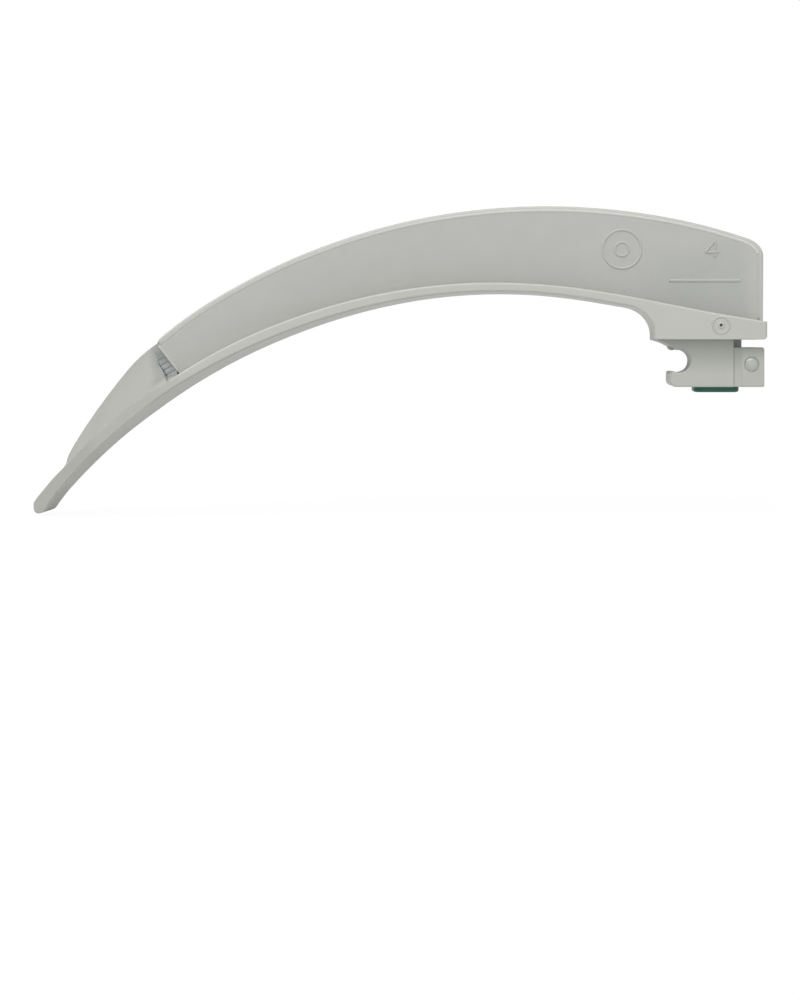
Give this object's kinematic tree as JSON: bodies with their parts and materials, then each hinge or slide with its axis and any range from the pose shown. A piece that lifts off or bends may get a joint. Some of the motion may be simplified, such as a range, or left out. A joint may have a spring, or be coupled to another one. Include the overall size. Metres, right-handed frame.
{
  "type": "laryngoscope blade",
  "caption": "Single-use curved laryngoscope blade: tapering tongue plate, web and flange, internal clear light guide, and a hook base with springy snap arms.",
  "frame": {"origin": "on the axis of the handle's cross bar, at the centre of the hook notch, at mid width of the base", "axes": "+X from the notch towards the heel, so the tip lies to -X; +Z from the hook up to the flange; -Y is the open side the light leaves from"},
  "size_m": [0.1569, 0.0195, 0.066],
  "materials": {
    "grey_plastic": "fine-grained satin moulding",
    "cover_plastic": "fine-grained satin moulding",
    "base_plastic": "satin moulding",
    "green_plastic": "satin moulding",
    "clear_acrylic": "polished clear",
    "ball_plastic": "slightly see-through, polished by wear"
  },
  "bodies": {
    "blade": {"blade_body": "grey_plastic", "guide_cover": "cover_plastic", "light_guide": "clear_acrylic", "exit_lens": "clear_acrylic", "hook_base": "base_plastic", "coupling_plate": "green_plastic"},
    "near_arm": {"snap_arm_near": "base_plastic", "detent_ball_near": "ball_plastic"},
    "far_arm": {"snap_arm_far": "base_plastic", "detent_ball_far": "ball_plastic"}
  },
  "joints": [
    {"name": "near_arm_flex", "type": "hinge", "parent": "blade", "child": "near_arm", "pos_m": [0.0117, -0.0054, 0], "axis": [0, 0, 1], "range_deg": [0, 9], "stiffness_Nm_per_rad": 0.4},
    {"name": "far_arm_flex", "type": "hinge", "parent": "blade", "child": "far_arm", "pos_m": [0.0117, 0.0054, 0], "axis": [0, 0, -1], "range_deg": [0, 9], "stiffness_Nm_per_rad": 0.4}
  ]
}
